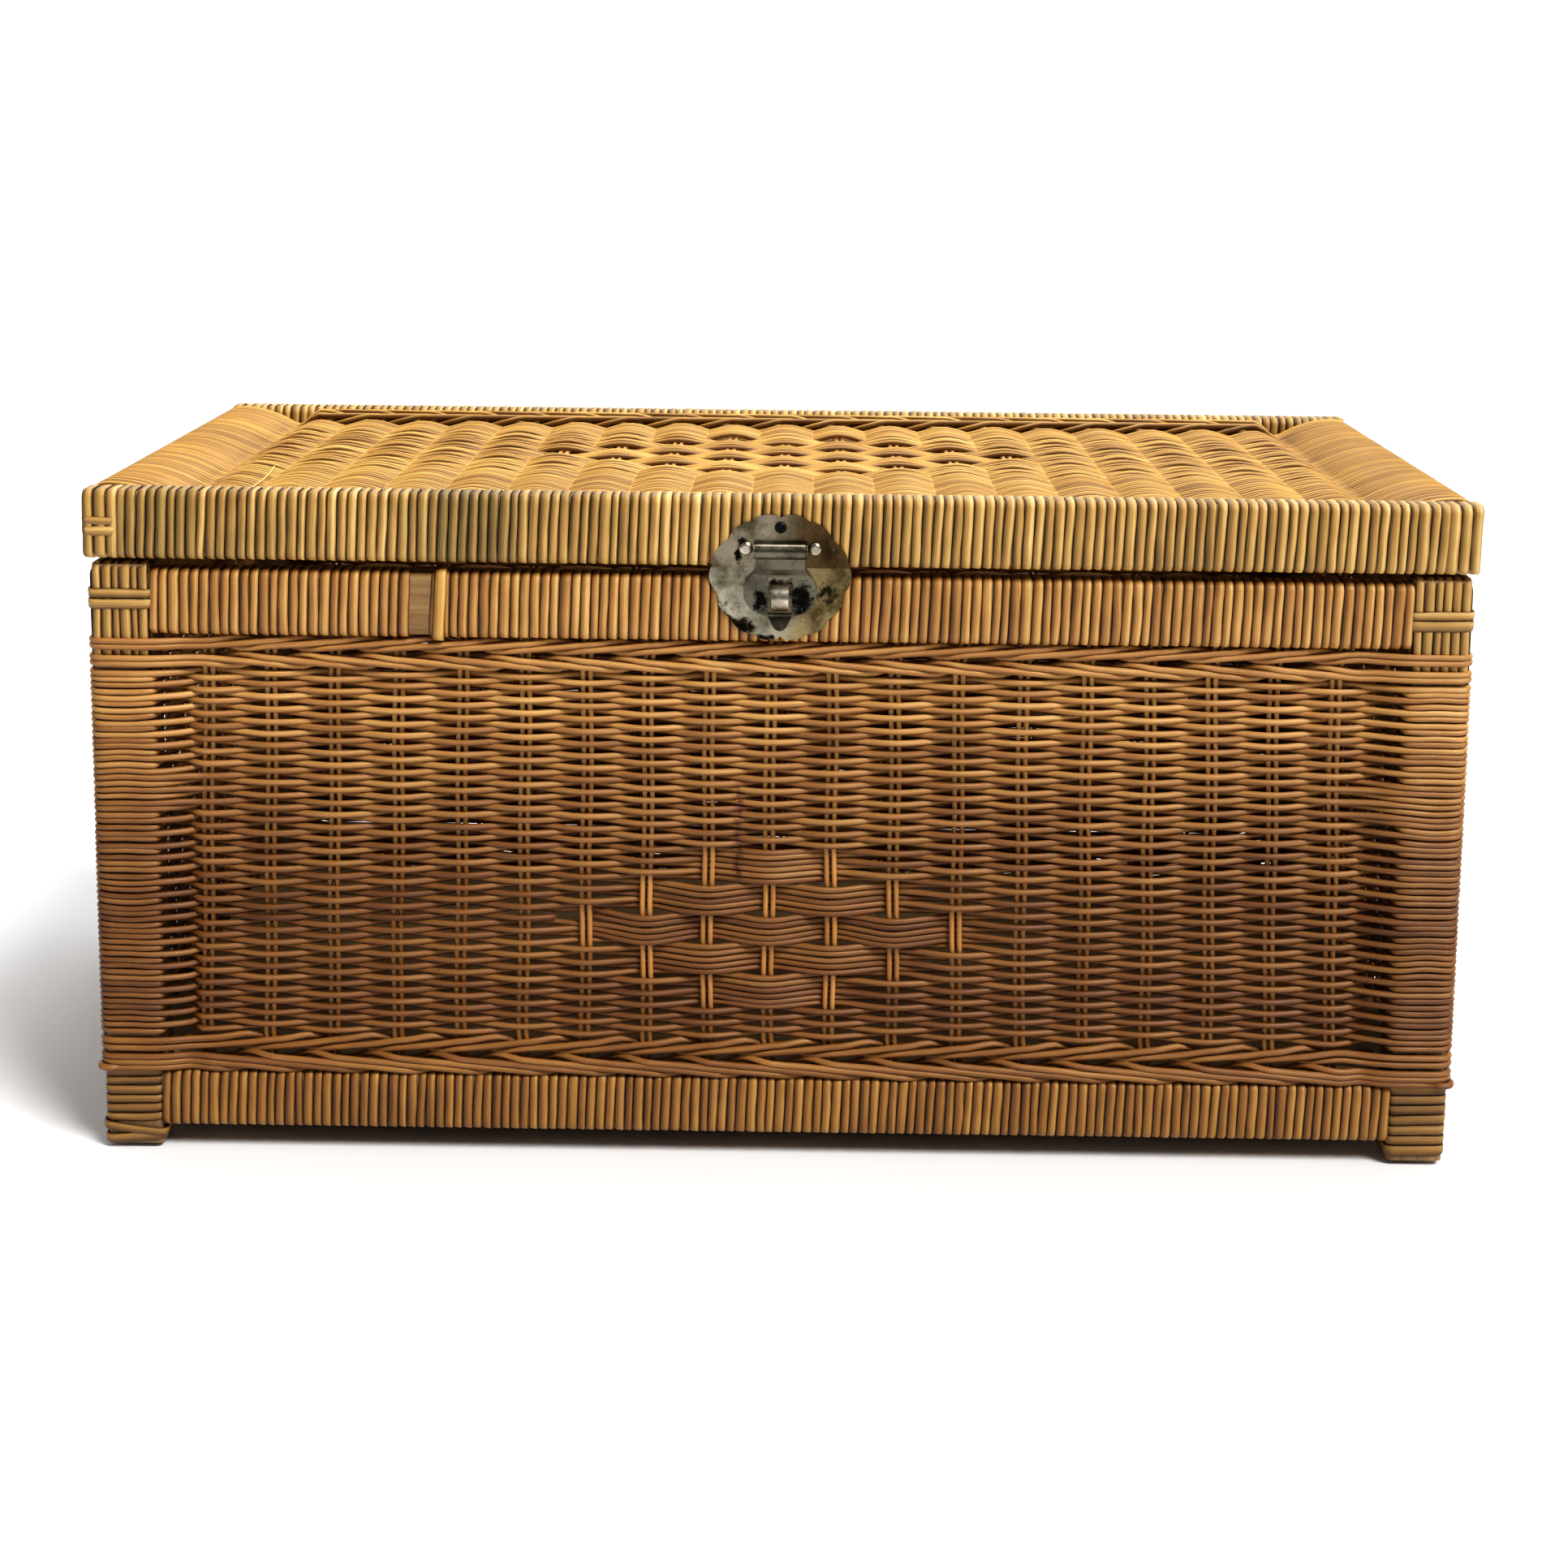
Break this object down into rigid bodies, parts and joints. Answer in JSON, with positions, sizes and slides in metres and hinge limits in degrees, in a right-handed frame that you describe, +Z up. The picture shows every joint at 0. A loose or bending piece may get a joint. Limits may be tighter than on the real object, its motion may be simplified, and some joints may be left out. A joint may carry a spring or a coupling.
{
  "type": "wicker storage trunk",
  "caption": "Rectangular wicker storage trunk: a reed-bound timber frame with woven walls, a hinged woven lid and a scalloped metal hasp latch at the front.",
  "frame": {"origin": "on the floor, under the middle of the closed trunk", "axes": "+X along the trunk's width, to the right of someone facing its front; -Y out of the front, where the latch is; +Z up"},
  "size_m": [0.82, 0.457, 0.4055],
  "materials": {
    "frame_timber": "bare, dusty",
    "floor_plywood": "bare plywood",
    "flat_reed": "aged, satin",
    "round_reed": "aged, satin",
    "latch_nickel": "tarnished nickel plate",
    "black_screw": "blacked",
    "hinge_steel": "tarnished nickel plate",
    "glide_metal": "dull grey"
  },
  "bodies": {
    "body": {"bottom_rail_front": "frame_timber", "bottom_rail_left": "frame_timber", "bottom_rail_rear": "frame_timber", "bottom_rail_right": "frame_timber", "bottom_rail_wraps": "flat_reed", "bottom_wales": "round_reed", "corner_post_front_left": "frame_timber", "corner_post_front_right": "frame_timber", "corner_post_rear_left": "frame_timber", "corner_post_rear_right": "frame_timber", "corner_weaves": "round_reed", "floor_battens": "frame_timber", "floor_board": "floor_plywood", "foot_glides": "glide_metal", "hinge_leaves_body": "hinge_steel", "hinge_pins": "hinge_steel", "hinge_screws_body": "hinge_steel", "latch_plate_lower": "latch_nickel", "latch_staple": "latch_nickel", "leg_wraps": "flat_reed", "post_top_wraps": "flat_reed", "stakes_front": "round_reed", "stakes_left": "round_reed", "stakes_rear": "round_reed", "stakes_right": "round_reed", "top_rail_front": "frame_timber", "top_rail_left": "frame_timber", "top_rail_rear": "frame_timber", "top_rail_right": "frame_timber", "top_rail_wraps": "flat_reed", "top_wales": "round_reed", "weave_front": "round_reed", "weave_left": "round_reed", "weave_rear": "round_reed", "weave_right": "round_reed"},
    "lid": {"lid_corner_wraps": "flat_reed", "lid_rail_front": "frame_timber", "lid_rail_left": "frame_timber", "lid_rail_rear": "frame_timber", "lid_rail_right": "frame_timber", "lid_rail_wraps": "flat_reed", "lid_side_weaves": "round_reed", "lid_stakes": "round_reed", "lid_wales": "round_reed", "lid_weave": "round_reed", "latch_plate_upper": "latch_nickel", "latch_nails": "latch_nickel", "latch_screw": "black_screw", "hasp_pin": "latch_nickel", "hinge_leaves_lid": "hinge_steel", "hinge_screws_lid": "hinge_steel"},
    "hasp": {"hasp": "latch_nickel"}
  },
  "joints": [
    {"name": "lid_hinge", "type": "hinge", "parent": "body", "child": "lid", "pos_m": [0, 0.2231, 0.361], "axis": [-1, 0, 0], "range_deg": [0, 105]},
    {"name": "hasp_hinge", "type": "hinge", "parent": "lid", "child": "hasp", "pos_m": [0, -0.2261, 0.3748], "axis": [-1, 0, 0], "range_deg": [0, 120]}
  ]
}
